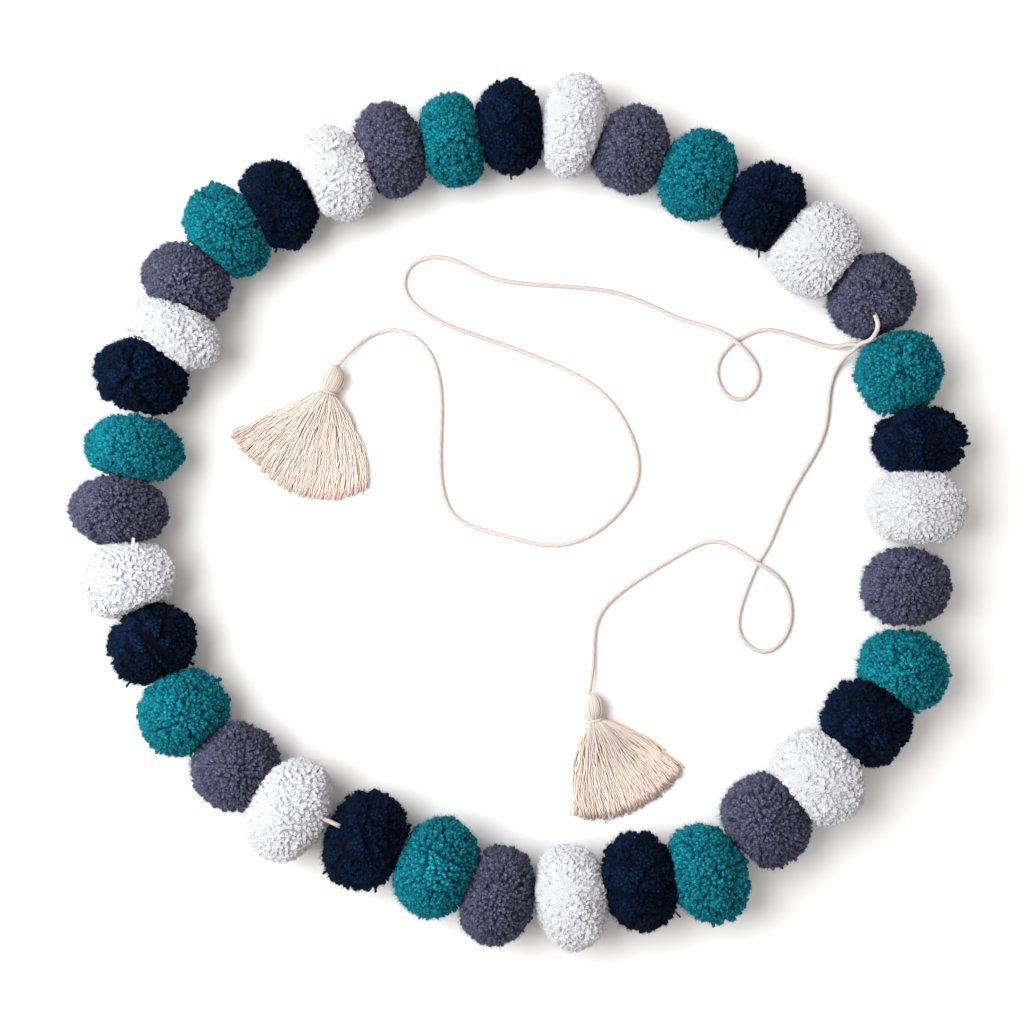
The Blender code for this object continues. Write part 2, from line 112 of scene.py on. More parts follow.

# Loose fibres on the end of each tuft, how they splay, and the depth that paints their roots darker, a
# painted shade
FIBRES_PER_TUFT = 8
FIBRE_WIDTH = 0.13 * MM
FIBRE_ROOT = 2.6 * MM
FIBRE_ROOTS = (0.4, 1.4)
FIBRE_LENGTH = 3.9 * MM
FIBRE_LENGTHS = (0.6, 1.25)
FIBRE_SPLAY = 0.36
FIBRE_ROLL = 1.1
FIBRE_LIFT = 0.3
FIBRE_ROOT_DEPTH = 0.35
LOCK_SPLAY = 0.20
LOCK_SHADES = 0.3

# The side toward the lamp, on which the fibres are longer and fibres and tufts are painted lighter, a painted
# light, and by how much
LIT_HAZY_SIDE = (-0.85, 0.15, 0.25)
HAZE_LENGTH = 0.4
HAZE_PAINTED_LIGHT = 0.25
TUFT_PAINTED_LIGHT = 0.06

# Short stray tufts on every pompom, and the roots and shades of all strays
STRAYS_EACH = 2
STRAY_WIDTH = 0.8 * MM
STRAY_RISES = (0.02, 0.05)
STRAY_ROOT = 0.7
STRAY_SHIFT = 1.2 * MM
STRAY_SHADES = (0.4, 1)

# Twisted cotton cord
CORD_RADIUS = 1.5 * MM
CORD_SIDES = 10
CORD_PLIES = 3
CORD_PITCH = 7 * MM
CORD_GROOVE = 0.06
CORD_SHADE_LENGTH = 28 * MM
CORD_STEP = 1.5 * MM
THREADED_STEP = 2.5 * MM
SMOOTH_STEPS = 24
OFF_VERTICAL = 1e-6

# Tassel sizes, as the part's source has them
HEAD_HALF_LENGTH = 9.5 * MM
HEAD_RADIUS = 8.2 * MM
HEAD_HEIGHT = 8.0 * MM
NECK_RADIUS = 5.0 * MM
NECK_MIDDLE = 9.1 * MM
NECK_HEIGHT = 7.0 * MM

# Threads of a tassel's skirt, and the bed of thick strands under them; the low threads and the bed take a
# lighter warm tan, painted bounce light in the shade between threads
TASSEL_SEED = 50
THREADS = 480
THREAD_RADIUS = 0.48 * MM
THREAD_RADII = (0.75, 1.2)
THREAD_SIDES = 3
THREAD_POINTS = 17
THREAD_SHIFTS = (-1.5, 2.5)
BED_STRANDS = 70
BED_RADIUS = 1.15 * MM
BED_REACH = 0.95
TOP_LAYER = 0.35
TOP_TINTS = (0.5, 0.95)
LOW_TINTS = (0, 0.3)

# Shares of the way along a thread, or angles over the head, then the thickness there beside the thread's own
THREAD_TAPER = ((0, 0.3, 0.9, 1), (0.8, 1.0, 1.05, 1.2))
BED_TAPER = ((0, 0.5), (0.4, 1))
HEAD_TAPER = ((0.2, 0.7, 2.2, 2.7), (0.45, 1.0, 1.0, 0.75))

# How the skirt's threads leave the neck, spread, wave and crimp, and how high they end at the hem
REACH_SPREAD = 0.018
ROOT_HALF_WIDTH = 4.3 * MM
LEAST_BUNDLE = 0.05
CONTROL_SHARE = 0.45
HEM_SPREAD = 1.6 * MM
WAVES = (0.8, 2.2)
SWAYS = (0.6, 2.4)
CRIMP = 0.45 * MM
CRIMP_LENGTH = 11 * MM
CRIMP_RATES = (0.7, 1.3)
SETTLE_RATE = 1.5
HEM_RISE = 1.76 * MM
HEM_SIDE_RISE = 1.43 * MM

# Threads of a tassel's head, from its crown to its neck, and the filling inside them
HEAD_THREADS = 76
HEAD_THREAD_RADIUS = 0.55 * MM
HEAD_POINTS = 10
HEAD_FROM = math.radians(8)
HEAD_TO = math.radians(160)
HEAD_NECK = 2.2
HEAD_SHIFT = 0.35
HEAD_SINKS = (0.95, 1.15)
HEAD_TWIST = 0.12
HEAD_TWIST_SPREAD = 0.05
# HEAD_DEPTH below 1 paints the head threads a little darker, a slight painted shade
HEAD_DEPTH = 0.8
HEAD_TINTS = (0.75, 0.95)
CROWN_RISE = 0.5 * MM
FILLING_SIDES = 16
FILLING_FROM = 0.05
FILLING_TO = 2.75
FILLING_NECK = 2.7
FILLING_INSET = 1.3 * MM
FILLING_LEAST = 0.5 * MM
FILLING_TINT = 0.5

# Tie round the neck
TIE_TURNS = 2
TIE_STEPS = 20
TIE_THREAD_RADIUS = 0.35 * MM
TIE_PITCH = 0.6 * MM
# TIE_DEPTH below 1 paints the tie a little darker, a slight painted shade
TIE_DEPTH = 0.9
TIE_TINT = 0.8

COLOURS = ("teal", "navy", "white", "grey")

# Yarn colours, linear: the cut ends, the painted shade deep between the tufts (for white a painted light,
# lighter than the ends) and the fuzz
Yarn = namedtuple("Yarn", "tip deep fuzz")
YARNS = {
    "teal": Yarn((0.008, 0.345, 0.430), (0.001, 0.036, 0.070), (0.3, 0.85, 0.95)),
    "navy": Yarn((0.003, 0.0135, 0.041), (0.0003, 0.0010, 0.005), (0.3, 0.6, 1.0)),
    "white": Yarn((0.480, 0.487, 0.540), (0.960, 0.962, 0.980), (1.0, 1.0, 1.0)),
    "grey": Yarn((0.138, 0.146, 0.230), (0.027, 0.030, 0.057), (0.7, 0.8, 1.0)),
}

# How much fuzz shows, the darkest and lightest that one tuft is beside another, and the same for the grain
Finish = namedtuple("Finish", "sheen tuft_low tuft_high grain_low grain_high")
FINISHES = {
    "teal": Finish(0.10, 0.54, 1.14, 0.60, 1.28),
    "navy": Finish(0.05, 0.22, 1.65, 0.40, 1.70),
    "white": Finish(0.03, 0.96, 1.00, 0.96, 1.02),
    "grey": Finish(0.08, 0.58, 1.14, 0.60, 1.32),
}
GRAIN_SPREAD = (0.38, 0.62)

# Cotton colours, linear: the darkest and lightest thread, the painted shade where depth is 0 (in the cord's
# grooves, toward the neck end of the tassel's threads and on the head's filling) and the tint at the hem.
# The tassel's colour at tint 0 is a lighter warm tan: painted bounce light on its low threads and bed
Cotton = namedtuple("Cotton", "low high groove hem")
COTTONS = {
    "twisted_cotton": Cotton((0.63, 0.54, 0.50), (0.69, 0.605, 0.56), 0.86, (1.0, 1.0, 1.0)),
    "tassel_thread": Cotton((0.90, 0.68, 0.52), (0.84, 0.755, 0.705), 0.94, (1.0, 0.90, 0.89)),
    "tie_thread_look": Cotton((0.78, 0.70, 0.65), (0.84, 0.77, 0.73), 0.90, (1.0, 1.0, 1.0)),
}
COTTON_SHEEN = 0.06
COTTON_GRAIN = (0.86, 1.08)

# The depths between which yarn goes from its painted deep shade to its tip's colour, and where the hem's tint
# begins
YARN_DEPTHS = (0.15, 0.95)
HEM_DEPTHS = (0.86, 1.0)

# How each surface scatters light, the scale and detail of its fine grain, and how far that grain stands out
Surface = namedtuple(
    "Surface", "roughness specular scale detail strength height sheen_roughness", defaults=(None, None, None)
)
YARN_SURFACE = Surface(0.85, 0.06, 900, 3.0, 0.8, 0.6 * MM, 0.5)
COTTON_SURFACE = Surface(0.8, 0.25, 2200, 3.0, 0.5, 0.25 * MM, 0.4)
FLOOR_SURFACE = Surface(0.9, 0.1, 6, 2.0)

# Pale paper floor
FLOOR_HALF_WIDTH = 6.0
FLOOR_SHADES = (0.90, 0.92)
FLOOR_SPREAD = (0.3, 0.7)

# Studio light: the soft light all round, and one large lamp above on the left
WORLD_COLOUR = (1.0, 0.948, 0.915, 1.0)
WORLD_STRENGTH = 0.68
Lamp = namedtuple("Lamp", "name place size power colour")
KEY_LAMP = Lamp("key_from_left", (-1.30, 0.32, 1.74), 1.8, 72, (0.98, 0.99, 1.0))

# How each yarn's tufts stand: their half width, how unevenly they are trimmed and how deep the partings are,
# how far their rims drop and how far they lean out from the whorl on top, in mm, then how softly they are
# shaded, how far that shading turns upward, how much of a tuft's shade is that of its whole clump, and of the
# dense yarn under the tufts the size beside the pompom's and the depth whose colour it has, which for the
# coloured yarns is the painted deep shade
Coat = namedtuple("Coat", "width ragged parting drop lean softness upturn clump_share core_size core_depth")
COATS = {
    "teal": Coat(1.40, 0.85, 1.2, 0.80, 4.6, 0.50, 0.45, 0.3, 0.86, 0.2),
    "navy": Coat(1.40, 0.80, 2.4, 0.80, 4.0, 0.50, 0.80, 0.6, 0.86, 0.2),
    "white": Coat(1.55, 0.45, 0.2, 0.40, 4.5, 0.95, 2.00, 0.2, 0.935, 0.8),
    "grey": Coat(1.34, 0.80, 1.0, 0.80, 4.2, 0.50, 0.80, 0.3, 0.86, 0.2),
}

# Each pompom's middle on the surface, and half of its size across the cord and along it, in mm
Pompom = namedtuple("Pompom", "x y across along")
POMPOMS = (
    Pompom(247, 91, 29, 28),
    Pompom(260, 46, 31, 24),
    Pompom(258, 3, 32, 24.5),
    Pompom(252, -49, 29.5, 26),
    Pompom(250, -103, 30.5, 27),
    Pompom(225, -137, 31, 28.5),
    Pompom(194, -173, 32.5, 28),
    Pompom(161, -200, 31, 27.5),
    Pompom(122, -235, 33, 26.5),
    Pompom(78, -240, 33.5, 26),
    Pompom(33, -250, 34.5, 24),
    Pompom(-14, -250, 33, 24.5),
    Pompom(-54, -232, 34, 27.5),
    Pompom(-100, -213, 34, 27.5),
    Pompom(-150, -193, 35, 26),
    Pompom(-185, -166, 29.5, 28.5),
    Pompom(-219, -130, 30, 28),
    Pompom(-239, -86, 30, 27.5),
    Pompom(-256, -44, 32.5, 24.5),
    Pompom(-261, 1, 32, 23.5),
    Pompom(-251, 41, 31.5, 22.5),
    Pompom(-246, 88, 32, 24.5),
    Pompom(-226, 116, 34, 20),
    Pompom(-217, 150, 30, 24.5),
    Pompom(-190, 183, 32, 24.5),
    Pompom(-157, 200, 31, 24.5),
    Pompom(-119, 220, 32.5, 23),
    Pompom(-84, 236, 32, 22),
    Pompom(-44, 242, 31, 21.5),
    Pompom(-7, 250, 32, 23.5),
    Pompom(35, 252, 34, 21.5),
    Pompom(73, 236, 30, 24.5),
    Pompom(116, 219, 30.5, 26),
    Pompom(159, 198, 30.5, 28),
    Pompom(192, 170, 31, 28.5),
    Pompom(229, 140, 28.5, 28),
)

# Where the threaded cord bends off a pompom's middle, and where it shows, by pompom number, in mm
KNEES = {
    14: ((-100, -213, 30), (-111, -205, 43.5)),
    15: ((-137, -194, 44.5), (-150, -193, 31)),
    36: ((222, 145, 27.5), (227.3, 133.5, 36.5)),
}
SHOWN_BETWEEN = {14: (-124, -198, 47)}

# Long stray tufts seen at the edges: pompom number, heading on the surface, how steeply they rise, how far
# they stand out and their half width, in mm
Stray = namedtuple("Stray", "pompom heading rise out width")
STRAYS = (
    Stray(26, 268, 0.35, 5, 0.9),
    Stray(30, 272, 0.35, 6, 0.9),
    Stray(14, 282, 0.35, 3, 1.4),
    Stray(9, 275, 0.35, 3, 1.8),
    Stray(10, 320, 0.35, 5, 0.9),
    Stray(34, 262, 0.35, 6, 0.9),
    Stray(25, 200, 0.35, 5, 0.9),
    Stray(18, 240, 0.35, 4, 0.9),
    Stray(19, 74, 0.70, 7, 1.5),
    Stray(19, 66, 0.80, 4, 1.3),
)

# Creases seen in the tufts: pompom number, the heading square to the crease, how far it runs from the
# pompom's middle, half of its length, its depth and half of its width, in mm
Crease = namedtuple("Crease", "pompom heading off half_length deep half_width")
CREASES = (
    Crease(18, 45, 4, 16, 9, 3.0),
    Crease(1, 200, 2, 9, 4, 2.0),
    Crease(14, 20, 3, 13, 4, 2.4),
    Crease(34, 75, 2, 12, 4, 2.4),
    Crease(22, 140, 3, 12, 4, 2.4),
)

# The free ends' routes, from the pompom that each leaves to the head of its tassel, in mm
LONG_END = (
    (223.8, 108.2, 13.9), (222.1, 109.45, 13.05), (218.0, 110.4, 9.4), (210.3, 109.4, 4.4),
    (198.7, 110.9, 1.9),
    (164.9, 120.5, 1.5), (152.0, 117.8, 1.5), (142.7, 112.9, 1.5), (133.5, 103.3, 1.5),
    (130.5, 91.0, 1.5), (135.8, 78.8, 1.5), (145.4, 74.5, 1.5), (154.3, 80.1, 1.5),
    (158.0, 91.0, 1.5), (153.0, 102.3, 2.9), (142.7, 112.6, 5.1), (127.9, 121.1, 2.6),
    (103.7, 128.8, 1.5), (60.7, 145.6, 1.5), (-14.5, 153.9, 1.5), (-43.8, 166.5, 1.5),
    (-58.8, 168.5, 1.5), (-72.1, 162.9, 1.5), (-76.6, 150.5, 1.5), (-70.3, 137.9, 1.5),
    (-46.2, 123.1, 1.5), (-9.2, 110.0, 1.5), (32.9, 92.7, 1.5), (59.3, 73.8, 1.5),
    (76.2, 43.0, 1.5), (76.9, 19.9, 1.5), (60.3, -5.3, 1.5), (26.6, -21.8, 1.5),
    (-14.5, -14.6, 1.5), (-44.3, -1.3, 1.5), (-52.9, 34.4, 1.5), (-52.2, 70.8, 1.5),
    (-59.5, 104.6, 1.5), (-79.3, 119.8, 1.5), (-100.5, 115.9, 2.4), (-119.95, 97.1, 6.4),
)
SHORT_END = (
    (228.45, 123.6, 49.9), (228.59, 122.42, 51.5), (228.8, 119.4, 52.8), (228.5, 116.4, 51.0),
    (227.9, 114.2, 47.2), (226.0, 111.0, 37.7),
    (222.2, 109.7, 24.0), (219.5, 106.8, 15.5), (216.2, 104.1, 9.5), (212.3, 99.5, 4.6),
    (208.6, 93.0, 2.2), (205.0, 80.1, 1.5), (202.7, 58.9, 1.5), (196.0, 40.4, 1.5),
    (186.1, 23.8, 1.5), (174.9, 2.6, 1.5), (164.7, -21.5, 1.5), (157.2, -34.4, 1.5),
    (148.4, -55.6, 1.5), (144.4, -72.8, 1.5), (148.4, -85.4, 1.5), (162.0, -92.4, 1.5),
    (174.9, -83.4, 1.5), (179.5, -67.5, 1.5), (175.5, -49.7, 1.9), (165.6, -38.8, 3.9),
    (157.2, -34.0, 5.1), (143.1, -24.5, 2.6), (126.8, -19.5, 1.5), (106.0, -27.8, 1.5),
    (79.5, -44.0, 1.5), (57.0, -62.2, 1.5), (49.7, -78.1, 1.5), (48.4, -98.0, 2.4),
    (45.8, -118.2, 6.4),
)

# Each tassel's head, the way it points, the two sides of its fan, how much each side bulges, and its reach
# across the fan, in mm
Tassel = namedtuple("Tassel", "name x y points fan_from fan_to bulges reaches")
TASSELS = (
    Tassel("long_end", -123.5, 87.3, 250, 203, 293, (0.0, 0.3), (69, 66, 69, 70, 67)),
    Tassel("short_end", 48.0, -128.4, 282, 259, 331, (0.35, 0.2), (64, 65, 64, 65, 65)),
)

# A pompom in place: its middle, its axes with their half sizes, and the flats where neighbours press
Ball = namedtuple("Ball", "middle axes sizes presses")

# Where a pompom's tufts stand: roots, tips, half widths, shades with painted shade and light in them, and how
# far each is on the lit, hazy side
Tufts = namedtuple("Tufts", "roots tips widths shades haze")

# Points, faces and two values a point, depth and tint, that the materials read, and soft normals if any
Shell = namedtuple("Shell", "points faces depth tint normals", defaults=(None,))


def unit(vectors):
    return vectors / np.linalg.norm(vectors, axis=-1, keepdims=True)


def in_metres(numbers):
    return np.array(numbers, float) * MM


def joined(shells):
    """One shell out of several."""
    start = 0
    faces = []
    for shell in shells:
        faces += [tuple(corner + start for corner in face) for face in shell.faces]
        start += len(shell.points)
    return Shell(
        np.concatenate([shell.points for shell in shells]),
        faces,
        np.concatenate([shell.depth for shell in shells]),
        np.concatenate([shell.tint for shell in shells]),
        None if shells[0].normals is None else np.concatenate([shell.normals for shell in shells]),
    )


def add_piece(name, shell, material, slot_name, *nodes):
    """A shown piece that rides on the object's one body and stands for CAD nodes."""
    mesh = bpy.data.meshes.new(name)
    mesh.from_pydata(shell.points, [], shell.faces)
    for label, values in (("depth", shell.depth), ("tint", shell.tint)):
        mesh.attributes.new(label, "FLOAT", "POINT").data.foreach_set("value", values.astype(np.float32))
    mesh.shade_smooth()
    if shell.normals is not None:
        mesh.normals_split_custom_set_from_vertices(shell.normals)
    mesh.materials.append(material)
    piece = bpy.data.objects.new(name, mesh)
    bpy.context.collection.objects.link(piece)
    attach(piece, "root")
    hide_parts(*nodes)
    return piece


def repeated(faces, times, step):
    """The same faces for each of many like shells whose points follow one another."""
    starts = range(0, times * step, step)
    return [tuple(corner + start for corner in face) for start in starts for face in faces]


# Pompoms


def oval_level(ball, offsets):
    shares = np.abs(offsets @ ball.axes.T) / ball.sizes
    return (shares**SQUARENESS).sum(axis=-1)


def free_reach(ball, directions):
    return oval_level(ball, directions) ** (-1 / SQUARENESS)


def free_ball(number):
    row = POMPOMS[number]
    before = POMPOMS[number - 1]
    after = POMPOMS[(number + 1) % len(POMPOMS)]
    along = unit(np.array((after.x - before.x, after.y - before.y, 0.0)))
    across = np.cross(along, UP)
    sizes = in_metres((row.along, row.across, row.across * HEIGHT_SHARE))
    middle = np.array((row.x * MM, row.y * MM, sizes[2] - SINK))
    return Ball(middle, np.array((along, across, UP)), sizes, [])


def press_together(first, second, space):
    between = second.middle - first.middle
    distance = np.linalg.norm(between)
    toward = between / distance
    meeting = first.middle + toward * (distance + free_reach(first, toward) - free_reach(second, -toward)) / 2
    normal = unit(toward - LEAN * toward[1] * UP)
    first.presses.append((normal, (meeting - first.middle) @ normal - space / 2, 1))
    second.presses.append((-normal, (second.middle - meeting) @ normal - space / 2, -1))


def place_balls():
    balls = [free_ball(number) for number in range(len(POMPOMS))]
    for first, second in zip(balls, balls[1:]):
        press_together(first, second, GAP)
    press_together(balls[-1], balls[0], END_SPACE)
    return balls


def border_wave(places):
    """How far the border between two pompoms wanders from its flat, the same for both of them."""
    wander = np.zeros(places.shape[:-1])
    for across, along, up in BORDER_WAVES:
        wander += np.sin(places @ (TURN / (np.array((across, along, up)) * MM)))
    return wander * BORDER_WANDER / len(BORDER_WAVES)


def pressed(ball, offsets):
    """Points moved back to the flats where the neighbours press, and up to the surface below."""
    offsets = offsets.copy()
    for normal, limit, side in ball.presses:
        beyond = np.maximum(offsets @ normal - limit - side * border_wave(ball.middle + offsets), 0.0)
        offsets -= beyond[..., None] * normal
    lowest = FLOOR_CLEARANCE - ball.middle[2]
    offsets[..., 2] = np.maximum(offsets[..., 2], lowest)
    return offsets


def spread_directions(ball, count, dice):
    """Directions spread evenly over the pompom's surface, and shifted a little at random."""
    steps = np.arange(count) + 0.5
    heights = 1 - 2 * steps / count
    turns = steps * math.pi * (3 - math.sqrt(5))
    flat = np.sqrt(1 - heights**2)
    globe = np.stack((flat * np.cos(turns), flat * np.sin(turns), heights), axis=1)
    globe += dice.normal(0.0, TUFT_SPREAD / math.sqrt(count), globe.shape)
    return unit((unit(globe) * ball.sizes) @ ball.axes)


def lumps(directions, dice):
    """A soft unevenness of the trimmed surface, from -1 to 1 or so."""
    total = np.zeros(len(directions))
    for _ in range(LUMP_WAVES):
        wave = dice.normal(0.0, LUMP_WAVE_SPREAD, 3)
        total += np.sin(directions @ wave + dice.uniform(0, TURN))
    return total / LUMP_SPAN


def side_axes(axes, dice):
    """Two directions square to each axis and to each other, turned at random."""
    helper = unit(dice.normal(0.0, 1.0, axes.shape))
    first = unit(np.cross(axes, helper))
    return first, np.cross(axes, first)


def tuft_shell(ball, coat, roots, tips, widths, shades, dice):
    """Uneven four-sided tufts that widen from root to rim and end in a low ragged dome."""
    count = len(roots)
    axes = unit(tips - roots)
    first, second = side_axes(axes, dice)
    sides = TUFT_SIDES
    corner_angles = np.arange(sides) * TURN / sides + dice.uniform(0, TURN, (count, 1))
    corner_angles = corner_angles + dice.normal(0.0, CORNER_TURN, (count, sides))
    reaches = dice.uniform(*CORNER_REACHES, (count, sides))
    cosines = np.cos(corner_angles)[..., None]
    sines = np.sin(corner_angles)[..., None]
    outward = cosines * first[:, None] + sines * second[:, None]
    width = widths[:, None, None]
    root_ring = roots[:, None] + outward * width * ROOT_WIDTH
    drop = coat.drop * MM * dice.uniform(*RIM_DROPS, (count, sides))[..., None]
    rim_ring = tips[:, None] - drop * axes[:, None] + outward * width * reaches[..., None]
    points = np.concatenate((root_ring, rim_ring, tips[:, None]), axis=1)
    points = pressed(ball, points) + ball.middle
    each = 2 * sides + 1
    pattern = [(k, (k + 1) % sides, sides + (k + 1) % sides, sides + k) for k in range(sides)]
    pattern += [(sides + k, sides + (k + 1) % sides, 2 * sides) for k in range(sides)]
    # Depth 0 at the root and RIM_DEPTH at the rim paint them with the deep colour, a painted shade (a painted
    # light for white)
    depth = np.tile(np.concatenate((np.zeros(sides), np.full(sides, RIM_DEPTH), (1.0,))), count)
    tint = np.repeat(shades, each)
    away = unit(unit(tips) + coat.upturn * UP)[:, None]
    facing = np.concatenate((outward, unit(outward + axes[:, None]), axes[:, None]), axis=1)
    normals = unit(coat.softness * away + (1 - coat.softness) * facing)
    return Shell(points.reshape(-1, 3), repeated(pattern, count, each), depth, tint, normals.reshape(-1, 3))


def fibre_shell(ball, coat, roots, tips, shades, dice):
    """Thin flat hairs, each one face that is turned outward and up."""
    count = len(roots)
    axes = unit(tips - roots)
    away = unit(roots)
    facing = away + UP
    facing = unit(facing - (facing * axes).sum(axis=1, keepdims=True) * axes)
    roll = dice.uniform(-FIBRE_ROLL, FIBRE_ROLL, (count, 1))
    side = unit(np.cross(facing, axes)) * np.cos(roll) + facing * np.sin(roll)
    points = np.stack((roots - FIBRE_WIDTH * side, roots + FIBRE_WIDTH * side, tips), axis=1)
    points = pressed(ball, points) + ball.middle
    # Fibre roots take a low depth and so the deep colour, a painted shade
    depth = np.tile((FIBRE_ROOT_DEPTH, FIBRE_ROOT_DEPTH, 1.0), count)
    tint = np.repeat(shades, 3)
    normals = np.repeat(unit(away + FIBRE_LIFT * axes + coat.upturn * UP), 3, axis=0)
    return Shell(points.reshape(-1, 3), repeated([(0, 2, 1)], count, 3), depth, tint, normals)


def core_shell(ball, coat):
    """The dense yarn under the tufts, as one closed ball that is smaller underneath, coloured as at its
    coat's depth: the painted deep shade for the coloured yarns.
    """
    around, rows = CORE_STEPS
    points = []
    for row in range(rows + 1):
        polar = math.pi * row / rows
        for column in range(around):
            angle = TURN * column / around
            flat = math.sin(polar)
            points.append((flat * math.cos(angle), flat * math.sin(angle), math.cos(polar)))
    directions = np.array(points)
    sizes = np.interp(directions[:, 2], CORE_LEVELS, (UNDER_CORE_SIZE, coat.core_size))
    offsets = pressed(ball, directions * free_reach(ball, directions)[:, None]) * sizes[:, None]
    faces = []
    for row in range(rows):
        for column in range(around):
            after = (column + 1) % around
            here, there = row * around, (row + 1) * around
            faces.append((here + column, there + column, there + after, here + after))
    # The core's depth gives it the painted deep shade (nearly the ends' colour for white)
    depth = np.full(len(points), coat.core_depth)
    tint = np.full(len(points), CORE_TINT)
    return Shell(offsets + ball.middle, faces, depth, tint, directions)


def shown(ball, directions, reach):
    """Which of the surface points aren't deep behind a neighbour or under the pompom."""
    offsets = directions * reach[:, None]
    clear = np.ones(len(directions), bool)
    for normal, limit, _ in ball.presses:
        clear &= offsets @ normal - limit < HIDDEN_DEPTH
    return clear & (offsets[:, 2] > -ball.middle[2] - HIDDEN_DEPTH)


def clumped(ball, directions, pull, dice):
    """Directions drawn together into clumps, how far out in its clump each is and a shade for its clump."""
    centres = unit((unit(dice.normal(0.0, 1.0, (CLUMPS, 3))) * ball.sizes) @ ball.axes)
    nearness = directions @ centres.T
    nearest = nearness.argmax(axis=1)
    best = nearness[np.arange(len(directions)), nearest]
    second_best = np.sort(nearness, axis=1)[:, -2]
    edge = np.exp(-((best - second_best) / CLUMP_BORDER))
    pulled = directions + pull * edge[:, None] * (centres[nearest] - directions)
    return unit(pulled), edge, dice.uniform(0, 1, CLUMPS)[nearest]


def creased(number, offsets):
    """How deep the pompom's creases are at each of the surface points."""
    depth = np.zeros(len(offsets))
    for crease in CREASES:
        if crease.pompom == number:
            heading = math.radians(crease.heading)
            square = np.array((math.cos(heading), math.sin(heading), 0.0))
            across = (offsets @ square / MM - crease.off) / crease.half_width
            along = offsets @ np.cross(UP, square) / MM / crease.half_length
            ridges = np.exp(-((np.abs(across) - CREASE_RIDGE_OFF) ** 2))
            profile = np.exp(-(across**2)) - CREASE_RIDGE * ridges
            depth += crease.deep * MM * profile * np.exp(-(along**4)) * (offsets[:, 2] > 0)
    return depth


def grown_tufts(number, ball, coat, dice):
    """Where a pompom's tufts stand, and how wide and how light each of them is."""
    directions = spread_directions(ball, TUFTS, dice)
    directions = directions[(directions[:, 2] > UNDER) | (dice.uniform(0, 1, TUFTS) < UNDER_SHARE)]
    directions, edge, clump_shades = clumped(ball, directions, CLUMP_PULL * coat.parting, dice)
    reach = free_reach(ball, directions)
    keep = shown(ball, directions, reach)
    directions, reach, edge, clump_shades = directions[keep], reach[keep], edge[keep], clump_shades[keep]
    reach = reach + LUMP * lumps(directions, dice) + dice.normal(0.0, coat.ragged * MM, len(reach))
    reach -= coat.parting * MM * edge
    crease = creased(number, directions * reach[:, None])
    reach -= crease
    tips = directions * reach[:, None]
    roots = pressed(ball, tips)
    roots = roots - unit(roots + dice.normal(0.0, TUFT_TILT, roots.shape) * reach[:, None]) * TUFT_DEPTH
    whorl = np.append(dice.normal(0.0, WHORL_SPREAD, 2), 0.0)
    outward = (tips - whorl) * (1, 1, 0)
    distance = np.linalg.norm(outward, axis=1, keepdims=True)
    lean = coat.lean * MM * dice.uniform(*WHORL_LEANS, distance.shape) * np.clip(directions[:, 2:], 0, 1)
    roots -= lean * outward / np.maximum(distance, WHORL_SIZE)
    widths = coat.width * MM * dice.uniform(*TUFT_WIDTHS, len(reach))
    # How far each tuft is toward the lamp, where it is painted lighter, a painted light
    haze = directions @ np.array(LIT_HAZY_SIDE)
    shades = (1 - coat.clump_share) * dice.uniform(0, 1, len(tips)) + coat.clump_share * clump_shades
    # Painted shade in the partings and creases, painted light on the crease ridges and on the lit, hazy side
    shades = shades * (1 - PARTING_PAINTED_SHADE * edge) + TUFT_PAINTED_LIGHT * haze - crease / CREASE_PAINTED_SHADE
    return Tufts(roots, tips, widths, np.clip(shades, 0, 1), haze)


def stray_shell(number, ball, coat, tips, dice):
    """Yarn ends that stand out of the trimmed surface: a few by chance, and those in the list of strays."""
    chosen = dice.choice(len(tips), STRAYS_EACH, replace=False)
    stray_tips = list(pressed(ball, tips[chosen]) * (1 + dice.uniform(*STRAY_RISES, (STRAYS_EACH, 1))))
    widths = [STRAY_WIDTH] * STRAYS_EACH
    for stray in STRAYS:
        if stray.pompom == number:
            heading = math.radians(stray.heading)
            direction = unit(np.array((math.cos(heading), math.sin(heading), stray.rise)))
            stray_tips.append(direction * (free_reach(ball, direction) + stray.out * MM))
            widths.append(stray.width * MM)
    stray_tips = np.array(stray_tips)
    roots = stray_tips * STRAY_ROOT + dice.normal(0.0, STRAY_SHIFT, stray_tips.shape)
    shades = dice.uniform(*STRAY_SHADES, len(stray_tips))
    unpressed = ball._replace(presses=[])
    return tuft_shell(unpressed, coat, roots, stray_tips, np.array(widths), shades, dice)


def loose_fibres(ball, coat, tufts, dice):
    """Fine fibres that splay out of the end of each tuft, longer on the lit, hazy side and painted lighter
    there, a painted light.
    """
    locks = unit(unit(tufts.tips - tufts.roots) + dice.normal(0.0, LOCK_SPLAY, tufts.tips.shape))
    outward = np.repeat(locks, FIBRES_PER_TUFT, axis=0)
    count = len(outward)
    lean = unit(outward + dice.normal(0.0, FIBRE_SPLAY, (count, 3)))
    sunk = FIBRE_ROOT * dice.uniform(*FIBRE_ROOTS, (count, 1))
    starts = np.repeat(tufts.tips, FIBRES_PER_TUFT, axis=0) - outward * sunk
    starts += (lean - outward) * coat.width * MM / FIBRE_SPLAY / 2
    haze = np.repeat(tufts.haze, FIBRES_PER_TUFT)
    lengths = FIBRE_LENGTH * (1 + HAZE_LENGTH * haze) * dice.uniform(*FIBRE_LENGTHS, count)
    ends = starts + lean * lengths[:, None]
    shades = np.repeat(tufts.shades, FIBRES_PER_TUFT) + dice.uniform(-LOCK_SHADES, LOCK_SHADES, count)
    # Painted light: fibres on the lit, hazy side are made lighter
    return fibre_shell(ball, coat, starts, ends, np.clip(shades + HAZE_PAINTED_LIGHT * haze, 0, 1), dice)


